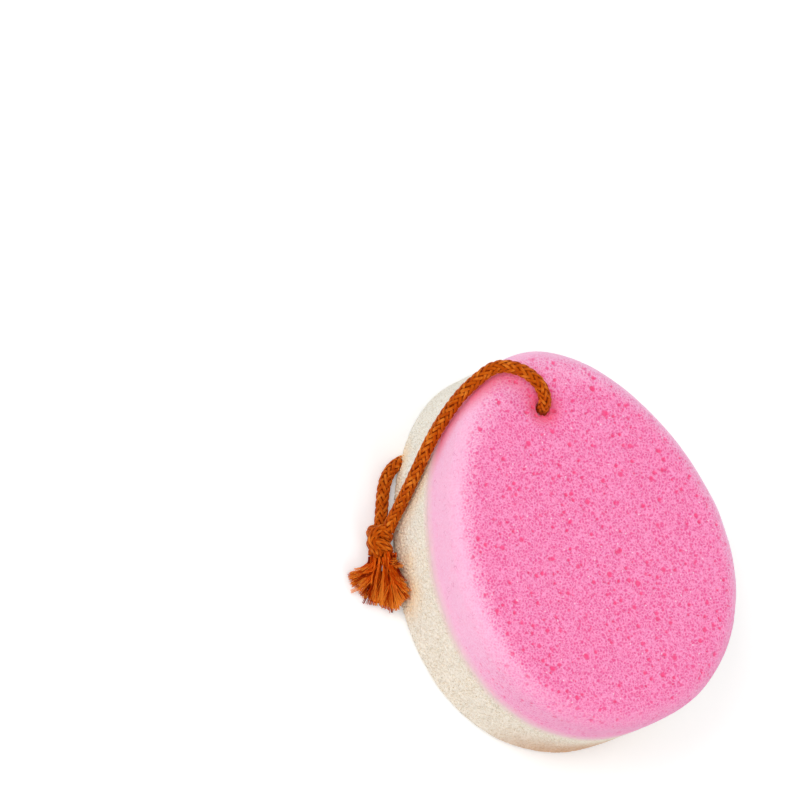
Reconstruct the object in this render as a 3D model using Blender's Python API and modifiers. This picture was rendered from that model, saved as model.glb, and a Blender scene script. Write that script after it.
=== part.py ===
"""Bath sponge: two bonded layers of foam, with a braided cord tied in a loop through them.

The sponge lies on its coarse layer. The origin is under its middle and +Z is up. The narrow end,
with the hole for the cord, points along -X. Lengths are in metres.
"""

import math

import bmesh
import bpy
from mathutils import Matrix, Vector

# Sponge
LENGTH = 0.130
WIDTH = 0.101
# The half width grows by this share at the wide end and shrinks by it at the narrow end.
EGG_TAPER_SHARE = 0.157
SCRUB_THICKNESS = 0.028
FILM_THICKNESS = 0.0004
SOFT_THICKNESS = 0.022
FILM_INSET = 0.0005
RIM_RADIUS = 0.0083
FOOT_RADIUS = 0.0033
OUTLINE_POINTS = 96
ROUNDING_STEPS = 6

# Main pores of the face: shares of the half length and of the half width, and a size as a share of
# the widest pore's
PORE_WIDTH = 0.0022
PORE_DEPTH = 0.0007
PORE_STEPS = 2
PORE_SHARES = [
    (-0.695, 0.390, 0.79),
    (-0.675, 0.211, 0.64),
    (-0.564, -0.008, 0.76),
    (-0.557, 0.410, 1.00),
    (-0.549, -0.211, 0.91),
    (-0.460, 0.202, 0.52),
    (-0.425, -0.154, 0.56),
    (-0.368, -0.464, 0.74),
    (-0.359, 0.498, 0.79),
    (-0.282, 0.695, 0.61),
    (-0.270, -0.184, 0.59),
    (-0.240, 0.351, 0.87),
    (-0.219, -0.624, 0.59),
    (-0.169, 0.044, 0.87),
    (-0.166, 0.557, 0.81),
    (-0.153, -0.174, 0.56),
    (-0.106, -0.517, 0.79),
    (-0.101, -0.674, 0.81),
    (-0.056, 0.698, 0.67),
    (0.040, -0.352, 0.74),
    (0.067, 0.475, 0.67),
    (0.122, -0.197, 0.72),
    (0.123, 0.132, 0.74),
    (0.217, 0.000, 0.91),
    (0.281, 0.665, 0.56),
    (0.287, -0.740, 0.64),
    (0.290, 0.395, 0.81),
    (0.309, 0.177, 0.93),
    (0.312, -0.379, 0.59),
    (0.392, -0.494, 0.61),
    (0.425, 0.498, 0.61),
    (0.427, -0.680, 0.74),
    (0.485, 0.225, 0.72),
    (0.526, 0.614, 0.74),
    (0.559, -0.647, 0.83),
    (0.559, -0.383, 0.91),
    (0.590, 0.245, 0.61),
    (0.603, 0.045, 0.72),
    (0.727, 0.229, 0.87),
    (0.757, -0.233, 0.69),
    (0.786, 0.100, 0.74),
]

# Hole, at a share of the half length towards the narrow end
HOLE_SHARE = 0.68462
MOUTH_RADIUS = 0.0045
MOUTH_DEPTH = 0.004
MOUTH_SIDES = 24
# Depth below the top at which the cord's held stretch passes into the free one
FREE_CORD_DEPTH = 0.006

# Cord
CORD_RADIUS = 0.00225
CORD_CLEARANCE = 0.0003
CORD_BEND_RADIUS = 0.009
CORD_BEND_STEPS = 6
CORD_POINT_SPACING = 0.003
CORD_BEVEL_RESOLUTION = 4
FLOOR_CLEARANCE = 0.0002

# Places along the cord: shares of the half length and of the half width

# From the hole over the rim, and down along the wall to the knot, with a share of the height
OVER_RIM_SHARES = [
    (-0.68462, 0.00000, 0.92549),
    (-0.68923, -0.00198, 0.96863),
    (-0.70615, -0.00594, 1.01765),
    (-0.73385, -0.00990, 1.05686),
    (-0.77538, -0.01980, 1.08431),
    (-0.82462, -0.03960, 1.09412),
    (-0.87385, -0.07327, 1.08627),
    (-0.91846, -0.11881, 1.06275),
    (-0.95538, -0.18020, 1.02549),
    (-0.96769, -0.25545, 0.98235),
    (-0.94615, -0.35050, 0.92941),
    (-0.90615, -0.45347, 0.84902),
    (-0.85385, -0.53267, 0.75294),
    (-0.79538, -0.60396, 0.66471),
    (-0.73231, -0.67327, 0.58824),
    (-0.66769, -0.73267, 0.51373),
    (-0.61231, -0.77624, 0.43922),
    (-0.54462, -0.82772, 0.33725),
    (-0.49231, -0.86337, 0.24706),
    (-0.44615, -0.90495, 0.18039),
    (-0.40308, -0.95050, 0.14902),
]

# From the foot of the hole, in a dent under the coarse layer, and along its foot to the knot
UNDER_SHARES = [
    (-0.68615, -0.29703),
    (-0.69231, -0.39604),
    (-0.70462, -0.51485),
    (-0.71077, -0.61386),
    (-0.69538, -0.69307),
    (-0.66154, -0.75842),
    (-0.60462, -0.81782),
    (-0.53077, -0.87129),
    (-0.46000, -0.92079),
    (-0.40615, -0.97030),
]

# Knot, with its long axis turned by a heading about +Z
KNOT_SHARES = (-0.36769, -1.00990)
KNOT_HEIGHT = 0.0053
KNOT_HEADING = math.radians(-23)
KNOT_LENGTH = 0.0102
KNOT_WIDTH = 0.0092
KNOT_CORE_WIDTH = 0.0076
WRAP_RADIUS = 0.0018
WRAP_OFFSET = 0.0021
WRAP_TILT = math.radians(24)
WRAP_STEPS = 28
WRAP_SIDES = 10
KNOT_RINGS = 12

# Frayed ends: where each leaves the knot, and where its tufts end, as x and y from the knot's
# middle and a height
FRAY_ROOT_RADIUS = 0.0020
TUFT_ROOT_RADIUS = 0.0011
TUFT_TIP_RADIUS = 0.0005
TUFT_SIDES = 7
FRAYED_ENDS = {
    "frayed_end_a": (
        (0.0048, -0.0023, 0.0030),
        [
            (0.0074, -0.0140, 0.0030),
            (0.0104, -0.0133, 0.0018),
            (0.0132, -0.0130, 0.0030),
            (0.0157, -0.0109, 0.0018),
            (0.0178, -0.0102, 0.0032),
            (0.0194, -0.0078, 0.0016),
        ],
    ),
    "frayed_end_b": (
        (0.0063, 0.0002, 0.0066),
        [
            (0.0209, -0.0063, 0.0042),
            (0.0223, -0.0039, 0.0022),
            (0.0229, -0.0032, 0.0050),
            (0.0223, -0.0022, 0.0074),
            (0.0208, -0.0010, 0.0098),
            (0.0188, -0.0007, 0.0125),
            (0.0092, 0.0010, 0.0125),
        ],
    ),
}

# Between pieces that touch
SEAT_GAP = 0.0003
# How far a cutter reaches past what it cuts
OVERRUN = 0.003

SOFT_PINK = (0.93, 0.18, 0.42)
SCRUB_CREAM = (0.80, 0.76, 0.60)
FILM_CLEAR = (0.78, 0.70, 0.62)
CORD_RUST = (0.55, 0.17, 0.02)
FRAY_ORANGE = (0.68, 0.25, 0.03)

FILM_BOTTOM = SCRUB_THICKNESS + SEAT_GAP
SOFT_BOTTOM = FILM_BOTTOM + FILM_THICKNESS + SEAT_GAP
TOP = SOFT_BOTTOM + SOFT_THICKNESS
HOLE_X = -HOLE_SHARE * LENGTH / 2
CORD_FLOOR_Z = CORD_RADIUS + FLOOR_CLEARANCE
HOLE_RADIUS = CORD_RADIUS + CORD_CLEARANCE


def clear_scene():
    for obj in list(bpy.data.objects):
        bpy.data.objects.remove(obj, do_unlink=True)


def new_collection(name, shown):
    collection = bpy.data.collections.new(name)
    collection.hide_render = not shown
    bpy.context.scene.collection.children.link(collection)
    return collection


def finish(name, colour, roughness):
    """A plain material of one colour."""
    material = bpy.data.materials.new(name)
    material.use_nodes = True
    shader = material.node_tree.nodes["Principled BSDF"]
    shader.inputs["Base Color"].default_value = (*colour, 1)
    shader.inputs["Roughness"].default_value = roughness
    shader.inputs["Metallic"].default_value = 0
    return material


def add_mesh(name, bm, collection, material=None):
    """A smooth shaded object made of a bmesh, or a cutter where it has no material."""
    mesh = bpy.data.meshes.new(name)
    bm.to_mesh(mesh)
    bm.free()
    obj = bpy.data.objects.new(name, mesh)
    collection.objects.link(obj)
    dress(obj, material)
    return obj


def dress(obj, material):
    if material is None:
        obj.hide_render = True
        obj.display_type = "WIRE"
        return
    obj.data.materials.append(material)
    obj.data.shade_smooth()
    obj.data.set_sharp_from_angle(angle=math.radians(50))


def add_boolean(obj, other, operation):
    modifier = obj.modifiers.new(other.name, "BOOLEAN")
    modifier.operation = operation
    modifier.object = other
    modifier.solver = "EXACT"


def egg_slab(name, collection, material, bottom, thickness, inset, rounded_height, radius):
    """An egg shaped slab, with the edge at one of its two heights rounded off."""
    bm = bmesh.new()
    bmesh.ops.create_cone(
        bm, cap_ends=True, segments=OUTLINE_POINTS, radius1=1, radius2=1, depth=thickness
    )
    for vert in bm.verts:
        along = vert.co.x
        vert.co.x = along * (LENGTH / 2 - inset)
        vert.co.y *= (WIDTH / 2 - inset) * (1 + EGG_TAPER_SHARE * along)
        vert.co.z += thickness / 2
    if radius:
        weight = bm.edges.layers.float.new("bevel_weight_edge")
        for edge in bm.edges:
            at_height = [abs(vert.co.z - rounded_height) < SEAT_GAP for vert in edge.verts]
            edge[weight] = float(all(at_height))
    slab = add_mesh(name, bm, collection, material)
    slab.location.z = bottom
    if radius:
        bevel = slab.modifiers.new("rounded edge", "BEVEL")
        bevel.limit_method = "WEIGHT"
        bevel.width = radius
        bevel.segments = ROUNDING_STEPS
    return slab


def placed(along, across, height):
    """A point from its shares of the half length and half width, and its height."""
    return Vector((along * LENGTH / 2, across * WIDTH / 2, height))


def from_knot(offset):
    """A point from its offsets from the knot's middle, and its height."""
    middle = placed(*KNOT_SHARES, KNOT_HEIGHT)
    return Vector((middle.x + offset[0], middle.y + offset[1], offset[2]))


def smooth_curve(route, steps=12):
    """Points of a Catmull-Rom curve through the route's own points."""
    points = [Vector(point) for point in route]
    points = [2 * points[0] - points[1], *points, 2 * points[-1] - points[-2]]
    curve = []
    for before, start, end, after in zip(points, points[1:], points[2:], points[3:]):
        for step in range(steps):
            t = step / steps
            curve.append(
                start
                + (end - before) * t / 2
                + (2 * before - 5 * start + 4 * end - after) * t**2 / 2
                + (3 * start - before - 3 * end + after) * t**3 / 2
            )
    return [*curve, points[-2]]


def evenly_spaced(curve, spacing):
    """The same line, with its points at an even distance close to the spacing."""
    lengths = [(end - start).length for start, end in zip(curve, curve[1:])]
    count = max(2, round(sum(lengths) / spacing))
    step = sum(lengths) / count
    points = [curve[0]]
    travelled = 0
    for start, end, length in zip(curve, curve[1:], lengths):
        while len(points) < count and travelled + length >= step * len(points):
            points.append(start.lerp(end, (step * len(points) - travelled) / length))
        travelled += length
    return [*points, curve[-1]]


def drawn_out(points, start, end):
    """The same line, lengthened straight on by these lengths at its start and its end."""
    first = points[0] + (points[0] - points[1]).normalized() * start
    last = points[-1] + (points[-1] - points[-2]).normalized() * end
    return [first, *points[1:-1], last]


def held_stretch():
    """The cord inside the sponge: straight down the hole, then a bend and a short run along -Y."""
    mouth = Vector((HOLE_X, 0, TOP - FREE_CORD_DEPTH - SEAT_GAP))
    centre = Vector((HOLE_X, -CORD_BEND_RADIUS, CORD_FLOOR_Z + CORD_BEND_RADIUS))
    bend = []
    for step in range(CORD_BEND_STEPS + 1):
        angle = math.pi / 2 * step / CORD_BEND_STEPS
        bend.append(centre + CORD_BEND_RADIUS * Vector((0, math.cos(angle), -math.sin(angle))))
    return [mouth, *bend, bend[-1] - Vector((0, CORD_RADIUS, 0))]


def tube(name, collection, points, radius):
    """A round curve along these points, with closed ends."""
    curve = bpy.data.curves.new(name, "CURVE")
    curve.dimensions = "3D"
    curve.fill_mode = "FULL"
    curve.bevel_depth = radius
    curve.bevel_resolution = CORD_BEVEL_RESOLUTION
    curve.use_fill_caps = True
    spline = curve.splines.new("POLY")
    spline.points.add(len(points) - 1)
    for spline_point, point in zip(spline.points, points):
        spline_point.co = (*point, 1)
    obj = bpy.data.objects.new(name, curve)
    collection.objects.link(obj)
    return obj


def cord_tube(name, collection, material, points):
    obj = tube(name, collection, points, CORD_RADIUS)
    obj.data.materials.append(material)
    return obj


def tube_cutter(name, collection, points, radius):
    """A tube made a closed mesh, because a curve can't cut."""
    curve_object = tube(name + " line", collection, points, radius)
    bpy.context.view_layer.update()
    graph = bpy.context.evaluated_depsgraph_get()
    mesh = bpy.data.meshes.new_from_object(curve_object.evaluated_get(graph))
    bm = bmesh.new()
    bm.from_mesh(mesh)
    bmesh.ops.remove_doubles(bm, verts=bm.verts, dist=CORD_CLEARANCE / 100)
    bmesh.ops.recalc_face_normals(bm, faces=bm.faces)
    bpy.data.objects.remove(curve_object)
    return add_mesh(name, bm, collection)


def make_sponge(parts, cutters, cord_way, under_points):
    scrub = egg_slab(
        "scrub_layer",
        parts,
        finish("coarse cream foam", SCRUB_CREAM, 0.9),
        bottom=0,
        thickness=SCRUB_THICKNESS,
        inset=0,
        rounded_height=0,
        radius=FOOT_RADIUS,
    )
    film = egg_slab(
        "bond_film",
        parts,
        finish("dried glue", FILM_CLEAR, 0.4),
        bottom=FILM_BOTTOM,
        thickness=FILM_THICKNESS,
        inset=FILM_INSET,
        rounded_height=0,
        radius=0,
    )
    soft = egg_slab(
        "soft_layer",
        parts,
        finish("fine pink foam", SOFT_PINK, 0.85),
        bottom=SOFT_BOTTOM,
        thickness=SOFT_THICKNESS,
        inset=0,
        rounded_height=SOFT_THICKNESS,
        radius=RIM_RADIUS,
    )
    for layer in (scrub, film, soft):
        add_boolean(layer, cord_way, "DIFFERENCE")
    add_boolean(scrub, under_dent(cutters, under_points), "DIFFERENCE")
    add_boolean(soft, mouth_flare(cutters), "DIFFERENCE")
    add_boolean(soft, pore_balls(cutters), "DIFFERENCE")


def under_dent(cutters, under_points):
    """The lower half of the dent that the cord leaves under the coarse layer, open to the floor."""
    points = [Vector((point.x, point.y, 0)) for point in under_points]
    return tube_cutter("dent under the foam", cutters, drawn_out(points, OVERRUN, 0), HOLE_RADIUS)


def mouth_flare(cutters):
    """The hole's mouth, drawn open by the cord."""
    slope = (MOUTH_RADIUS - HOLE_RADIUS) / MOUTH_DEPTH
    bm = bmesh.new()
    bmesh.ops.create_cone(
        bm,
        cap_ends=True,
        segments=MOUTH_SIDES,
        radius1=HOLE_RADIUS,
        radius2=MOUTH_RADIUS + OVERRUN * slope,
        depth=MOUTH_DEPTH + OVERRUN,
        matrix=Matrix.Translation((HOLE_X, 0, TOP - MOUTH_DEPTH + (MOUTH_DEPTH + OVERRUN) / 2)),
    )
    return add_mesh("mouth of the hole", bm, cutters)


def pore_balls(cutters):
    """Balls that dip into the face, so that each cuts a shallow round pore."""
    widest = (PORE_WIDTH**2 / 4 + PORE_DEPTH**2) / (2 * PORE_DEPTH)
    bm = bmesh.new()
    for along, across, share in PORE_SHARES:
        middle = placed(along, across, TOP + (widest - PORE_DEPTH) * share)
        bmesh.ops.create_icosphere(
            bm,
            subdivisions=PORE_STEPS,
            radius=widest * share,
            matrix=Matrix.Translation(middle),
        )
    return add_mesh("pores", bm, cutters)


def torus(name, collection, ring_radius, thickness_radius, matrix):
    """A ring, swept as a circle of points about its axis."""
    bm = bmesh.new()
    circle = bmesh.ops.create_circle(bm, segments=WRAP_SIDES, radius=thickness_radius)
    bmesh.ops.rotate(bm, verts=circle["verts"], matrix=Matrix.Rotation(math.pi / 2, 3, "X"))
    bmesh.ops.translate(bm, verts=circle["verts"], vec=(ring_radius, 0, 0))
    bmesh.ops.spin(
        bm,
        geom=bm.verts[:] + bm.edges[:],
        axis=(0, 0, 1),
        steps=WRAP_STEPS,
        angle=2 * math.pi,
    )
    bmesh.ops.remove_doubles(bm, verts=bm.verts, dist=thickness_radius / 100)
    bmesh.ops.recalc_face_normals(bm, faces=bm.faces)
    bmesh.ops.transform(bm, verts=bm.verts, matrix=matrix)
    return add_mesh(name, bm, collection)


def ball(name, collection, centre, radius, material=None):
    bm = bmesh.new()
    bmesh.ops.create_uvsphere(
        bm,
        u_segments=WRAP_STEPS,
        v_segments=KNOT_RINGS,
        radius=radius,
        matrix=Matrix.Translation(centre),
    )
    return add_mesh(name, bm, collection, material)


def make_knot(parts, cutters, runs):
    """A tight core with two slanting wraps, and a socket for each cord and each frayed end."""
    middle = placed(*KNOT_SHARES, KNOT_HEIGHT)
    place = Matrix.Translation(middle) @ Matrix.Rotation(KNOT_HEADING, 4, "Z")
    bm = bmesh.new()
    bmesh.ops.create_uvsphere(bm, u_segments=WRAP_STEPS, v_segments=KNOT_RINGS, radius=1)
    size = Matrix.Diagonal((KNOT_LENGTH / 2, KNOT_CORE_WIDTH / 2, KNOT_CORE_WIDTH / 2, 1))
    bmesh.ops.transform(bm, verts=bm.verts, matrix=place @ size)
    knot = add_mesh("knot", bm, parts, finish("knotted cord", CORD_RUST, 0.8))
    across = Matrix.Rotation(math.pi / 2, 4, "Y")
    for side in (-1, 1):
        tilt = Matrix.Rotation(WRAP_TILT, 4, "Z")
        shift = Matrix.Translation((side * WRAP_OFFSET, 0, 0))
        wrap = torus(
            f"wrap {side}",
            cutters,
            KNOT_WIDTH / 2 - WRAP_RADIUS,
            WRAP_RADIUS,
            place @ shift @ tilt @ across,
        )
        add_boolean(knot, wrap, "UNION")
    for name, points in runs.items():
        socket = drawn_out(points, 0, SEAT_GAP)
        add_boolean(knot, tube_cutter(f"socket of {name}", cutters, socket, HOLE_RADIUS), "DIFFERENCE")
    for name, (root, _) in FRAYED_ENDS.items():
        middle = from_knot(root)
        socket = ball(f"socket of {name}", cutters, middle, FRAY_ROOT_RADIUS + SEAT_GAP)
        add_boolean(knot, socket, "DIFFERENCE")


def tuft(name, collection, root, tip):
    """One tuft of fibres, as a tapering rod from the root to its tip."""
    start, end = from_knot(root), from_knot(tip)
    along = end - start
    turn = along.to_track_quat("Z", "Y").to_matrix().to_4x4()
    bm = bmesh.new()
    bmesh.ops.create_cone(
        bm,
        cap_ends=True,
        segments=TUFT_SIDES,
        radius1=TUFT_ROOT_RADIUS,
        radius2=TUFT_TIP_RADIUS,
        depth=along.length,
        matrix=Matrix.Translation((start + end) / 2) @ turn,
    )
    return add_mesh(name, bm, collection)


def make_frayed_ends(parts, cutters):
    material = finish("loose cord fibres", FRAY_ORANGE, 0.85)
    for name, (root, tips) in FRAYED_ENDS.items():
        fray = ball(name, parts, from_knot(root), FRAY_ROOT_RADIUS, material)
        for number, tip in enumerate(tips):
            add_boolean(fray, tuft(f"{name} tuft {number}", cutters, root, tip), "UNION")


def least_gap(first, second):
    """The least distance between two cords' surfaces, on their points."""
    return min((a - b).length for a in first for b in second) - 2 * CORD_RADIUS


def free_stretch(start, route):
    """A free run of the cord, from where the held stretch ends and on through the route's points."""
    return evenly_spaced(smooth_curve([start, *route]), CORD_POINT_SPACING)


def make_part():
    clear_scene()
    parts = new_collection("bath_sponge", shown=True)
    cutters = new_collection("cutters", shown=False)
    held = held_stretch()
    over_rim_route = [placed(x, y, z * TOP) for x, y, z in OVER_RIM_SHARES]
    over_rim = free_stretch(held[0] + Vector((0, 0, SEAT_GAP)), over_rim_route)
    under_route = [placed(x, y, CORD_FLOOR_Z) for x, y in UNDER_SHARES]
    under = free_stretch(held[-1] - Vector((0, SEAT_GAP, 0)), under_route)
    braid = finish("braided cord", CORD_RUST, 0.8)
    cord_tube("cord_in_hole", parts, braid, held)
    cord_tube("cord_over_rim", parts, braid, over_rim)
    cord_tube("cord_under", parts, braid, under)
    way = drawn_out([*held, *under], FREE_CORD_DEPTH + OVERRUN, 0)
    cord_way = tube_cutter("way of the cord", cutters, way, HOLE_RADIUS)
    make_sponge(parts, cutters, cord_way, under)
    make_knot(parts, cutters, {"cord_over_rim": over_rim, "cord_under": under})
    make_frayed_ends(parts, cutters)
    print(f"gap between the two runs: {least_gap(over_rim, under) * 1000:.2f} mm")


make_part()
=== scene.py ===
# %% [markdown]
# # A bath sponge on a braided cord
#
# The sponge is two slabs of foam, glued flat on each other. The pink one is soft and fine. The
# cream one is coarse, for scrubbing. A braided cord goes through a hole at the narrow end, and its
# two ends are tied in a knot and left to fray.
#
# The lesson goes from the outside in: first the frame, the camera and the light, then the cord,
# the knot and the frayed ends, and last the two foams, which take most of the work.

# %% The frame
import math

import bmesh
import bpy
import numpy as np
from mathutils import Matrix, Vector, kdtree, noise


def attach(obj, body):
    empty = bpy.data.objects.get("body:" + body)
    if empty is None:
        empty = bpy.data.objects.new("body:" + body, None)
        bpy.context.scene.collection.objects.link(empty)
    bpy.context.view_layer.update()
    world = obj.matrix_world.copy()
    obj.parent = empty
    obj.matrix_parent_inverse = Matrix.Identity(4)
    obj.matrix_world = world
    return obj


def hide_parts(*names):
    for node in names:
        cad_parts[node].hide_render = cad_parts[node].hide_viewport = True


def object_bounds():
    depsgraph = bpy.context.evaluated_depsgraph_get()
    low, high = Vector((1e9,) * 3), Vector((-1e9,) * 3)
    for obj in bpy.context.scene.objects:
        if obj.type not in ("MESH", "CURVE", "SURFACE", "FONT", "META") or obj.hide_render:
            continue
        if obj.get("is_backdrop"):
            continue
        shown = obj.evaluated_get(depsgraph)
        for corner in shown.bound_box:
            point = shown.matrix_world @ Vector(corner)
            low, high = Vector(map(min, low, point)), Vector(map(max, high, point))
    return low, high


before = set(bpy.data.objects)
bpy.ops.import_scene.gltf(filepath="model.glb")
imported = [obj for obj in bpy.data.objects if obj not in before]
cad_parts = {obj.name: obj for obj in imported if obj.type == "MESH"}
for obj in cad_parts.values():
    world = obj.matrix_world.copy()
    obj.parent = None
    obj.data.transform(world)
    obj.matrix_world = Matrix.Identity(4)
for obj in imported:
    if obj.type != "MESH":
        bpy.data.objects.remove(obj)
cad_box = [list(corner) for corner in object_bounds()]
print("solids:", ", ".join(sorted(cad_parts)))

# %% [markdown]
# All sizes are in metres. The sponge lies on its cream side, with the origin under its middle, and
# the hole points along -X. These sizes are those of the solids, so each piece that is made here
# lands where its solid is.

# %% Sizes of the sponge
LENGTH = 0.130
WIDTH = 0.101
EGG_TAPER_SHARE = 0.157
BOND_HEIGHT = 0.0285
TOP = 0.051
RIM_RADIUS = 0.0083
FOOT_RADIUS = 0.0033
HOLE_X = -0.0445
CORD_RADIUS = 0.00225
CORD_FLOOR_Z = 0.00245

# %% [markdown]
# ## Camera
#
# The picture looks down on the sponge, and the camera is rolled, because the real sponge leans
# with its narrow end up. A long lens from three metres keeps the two sides nearly parallel. The
# camera's place, its aim and the direction that is up in the picture give its three axes, and a
# matrix made of these needs no constraint.

# %% Camera
CAMERA_PLACE = Vector((0.05261, -1.49087, 2.63157))
CAMERA_AIM = Vector((-0.06524, -0.02911, 0.01355))
PICTURE_UP = Vector((-0.93168, 0.29772, 0.20817))
LENS_MM = 407.36


def new_object(name, data):
    thing = bpy.data.objects.new(name, data)
    bpy.context.scene.collection.objects.link(thing)
    return thing


def add_camera():
    back = (CAMERA_PLACE - CAMERA_AIM).normalized()
    right = PICTURE_UP.cross(back).normalized()
    turn = Matrix((right, back.cross(right), back)).transposed()
    camera = new_object("camera", bpy.data.cameras.new("camera"))
    camera.data.lens = LENS_MM
    camera.data.sensor_width = 36
    camera.data.clip_end = 20
    camera.matrix_world = Matrix.Translation(CAMERA_PLACE) @ turn.to_4x4()
    bpy.context.scene.camera = camera


add_camera()
bpy.context.scene.view_settings.view_transform = "Standard"
print("camera is", round((CAMERA_PLACE - CAMERA_AIM).length, 3), "m from what it looks at")

# %% [markdown]
# ## Helpers
#
# Every piece ends the same way: a mesh in the scene that rides on the frame's one body, and takes
# the place of a solid. A node tree is a list of nodes and links, and short helpers keep it
# readable: one adds any node with its values, one makes a group with named sockets, and one for
# each common node turns a tree into sums that read from left to right.

# %% Helpers for objects
def add_piece(name, mesh, material, node):
    """A smooth piece that rides on the sponge, in the place of one of its solids."""
    piece = new_object(name, mesh)
    mesh.materials.clear()
    mesh.materials.append(material)
    mesh.shade_smooth()
    mesh.set_sharp_from_angle(angle=math.radians(65))
    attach(piece, "root")
    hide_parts(node)
    print(f"{name}: {len(mesh.vertices)} points, {len(mesh.polygons)} faces")
    return piece


# %% Helpers for nodes
def set_inputs(node, values):
    """Sets or links a node's inputs, which are given by title or by number."""
    for key, value in values.items():
        if isinstance(value, bpy.types.NodeSocket):
            node.id_data.links.new(value, node.inputs[key])
        else:
            node.inputs[key].default_value = value


def add_node(tree, kind, values=None, **settings):
    """A node with its settings and its inputs."""
    node = tree.nodes.new(kind)
    for key, value in settings.items():
        setattr(node, key, value)
    set_inputs(node, values or {})
    return node


# %% Helpers for groups and materials
def new_group(name, inputs, outputs):
    """A shader node group with these sockets, what it is given, and the node for what it makes."""
    group = bpy.data.node_groups.new(name, "ShaderNodeTree")
    for title, kind, value in inputs:
        kind = "NodeSocket" + kind
        socket = group.interface.new_socket(title, in_out="INPUT", socket_type=kind)
        if value is not None:
            socket.default_value = value
    for title, kind in outputs:
        group.interface.new_socket(title, in_out="OUTPUT", socket_type="NodeSocket" + kind)
    given = group.nodes.new("NodeGroupInput").outputs
    return group, given, group.nodes.new("NodeGroupOutput")


def new_material(name, roughness):
    """A material, its node tree and its Principled BSDF."""
    material = bpy.data.materials.new(name)
    material.use_nodes = True
    shader = material.node_tree.nodes["Principled BSDF"]
    set_inputs(shader, {"Roughness": roughness})
    return material, material.node_tree, shader


def linear(red, green, blue):
    """A colour as it is read off a screen, from 0 to 255, in the form that Blender needs."""
    shares = [channel / 255 for channel in (red, green, blue)]
    return (*[s / 12.92 if s < 0.04045 else ((s + 0.055) / 1.055) ** 2.4 for s in shares], 1)


# %% Short forms for numbers
SMOOTH = {"interpolation_type": "SMOOTHSTEP"}


def read_value(tree, name):
    return add_node(tree, "ShaderNodeAttribute", attribute_name=name).outputs["Fac"]


def read_vector(tree, name):
    return add_node(tree, "ShaderNodeAttribute", attribute_name=name).outputs["Vector"]


def split(tree, vector):
    return add_node(tree, "ShaderNodeSeparateXYZ", {0: vector}).outputs


def maths(tree, operation, first, second):
    return add_node(tree, "ShaderNodeMath", {0: first, 1: second}, operation=operation).outputs[0]


def times(tree, first, second):
    return maths(tree, "MULTIPLY", first, second)


def ramp(tree, value, low, high, to_low=0.0, to_high=1.0, **settings):
    """A value spread from low..high to to_low..to_high, and held at the ends."""
    values = {"Value": value, "From Min": low, "From Max": high, "To Min": to_low, "To Max": to_high}
    return add_node(tree, "ShaderNodeMapRange", values, **settings).outputs[0]


# %% Short forms for colours, patterns and relief
def mix_colour(tree, share, first, second):
    values = {0: share, 6: first, 7: second}
    return add_node(tree, "ShaderNodeMix", values, data_type="RGBA").outputs[2]


def noise_at(tree, place, scale, **values):
    values = {"Vector": place, "Scale": scale, **values}
    return add_node(tree, "ShaderNodeTexNoise", values).outputs[0]


def use(tree, group, **values):
    return add_node(tree, "ShaderNodeGroup", values, node_tree=group).outputs[0]


def add_bump(tree, shader, height, strength, distance, invert=False):
    values = {"Height": height, "Strength": strength, "Distance": distance}
    relief = add_node(tree, "ShaderNodeBump", values, invert=invert)
    set_inputs(shader, {"Normal": relief.outputs[0]})


# %% [markdown]
# ## Floor and light
#
# A pale studio is one big floor, an even white sky and four large soft lamps. The sky gives much
# of the light, so no shadow is black. The key lamp stands beyond the narrow end and to the left.
# The front lamp stands at the camera, where it fills the shade that the camera sees. A weak side
# lamp lights the wide end, and a weak back lamp the far rim. The floor is nearly white, and camera
# rays get a little glow on top, so that it reads as white paper and still takes the shadow.

# %% Floor
FLOOR_GLOW = 0.23
FLOOR_HALF = 4


def add_floor():
    material, tree, shader = new_material("studio paper", 0.9)
    rays = add_node(tree, "ShaderNodeLightPath").outputs
    seen = maths(tree, "MAXIMUM", rays["Is Camera Ray"], rays["Is Glossy Ray"])
    values = {
        "Base Color": (0.88, 0.88, 0.88, 1),
        "Specular IOR Level": 0.1,
        "Emission Color": (1, 1, 1, 1),
        "Emission Strength": times(tree, seen, FLOOR_GLOW),
    }
    set_inputs(shader, values)
    mesh = bpy.data.meshes.new("floor")
    corners = [(x * FLOOR_HALF, y * FLOOR_HALF, 0) for x, y in ((-1, -1), (1, -1), (1, 1), (-1, 1))]
    mesh.from_pydata(corners, [], [(0, 1, 2, 3)])
    mesh.materials.append(material)
    floor = new_object("floor", mesh)
    floor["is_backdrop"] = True


add_floor()

# %% Sky and lamps
SKY_STRENGTH = 0.58
LAMP_AIM = Vector((0, 0, 0.03))
LAMPS = {
    "key lamp": ((-0.8, -1.2, 1.7), 1.2, 16),
    "front lamp": ((0.1, -1.5, 2.6), 0.9, 9),
    "side lamp": ((1.4, -0.2, 1.2), 1.0, 6.5),
    "back lamp": ((-0.3, 1.4, 0.9), 1.0, 3),
}


def add_lamp(name, place, size, power):
    light = bpy.data.lights.new(name, "AREA")
    light.shape = "DISK"
    light.size = size
    light.energy = power
    lamp = new_object(name, light)
    lamp.location = place
    lamp.rotation_mode = "QUATERNION"
    lamp.rotation_quaternion = (LAMP_AIM - Vector(place)).to_track_quat("-Z", "Y")


def add_sky():
    world = bpy.data.worlds.new("sky")
    bpy.context.scene.world = world
    world.use_nodes = True
    tree = world.node_tree
    rays = add_node(tree, "ShaderNodeLightPath").outputs
    seen = rays["Is Camera Ray"]
    for ray in ("Is Glossy Ray", "Is Transmission Ray"):
        seen = maths(tree, "MAXIMUM", seen, rays[ray])
    strength = ramp(tree, seen, 0.0, 1.0, SKY_STRENGTH, 1.0)
    set_inputs(tree.nodes["Background"], {"Color": (1, 1, 1, 1), "Strength": strength})


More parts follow.
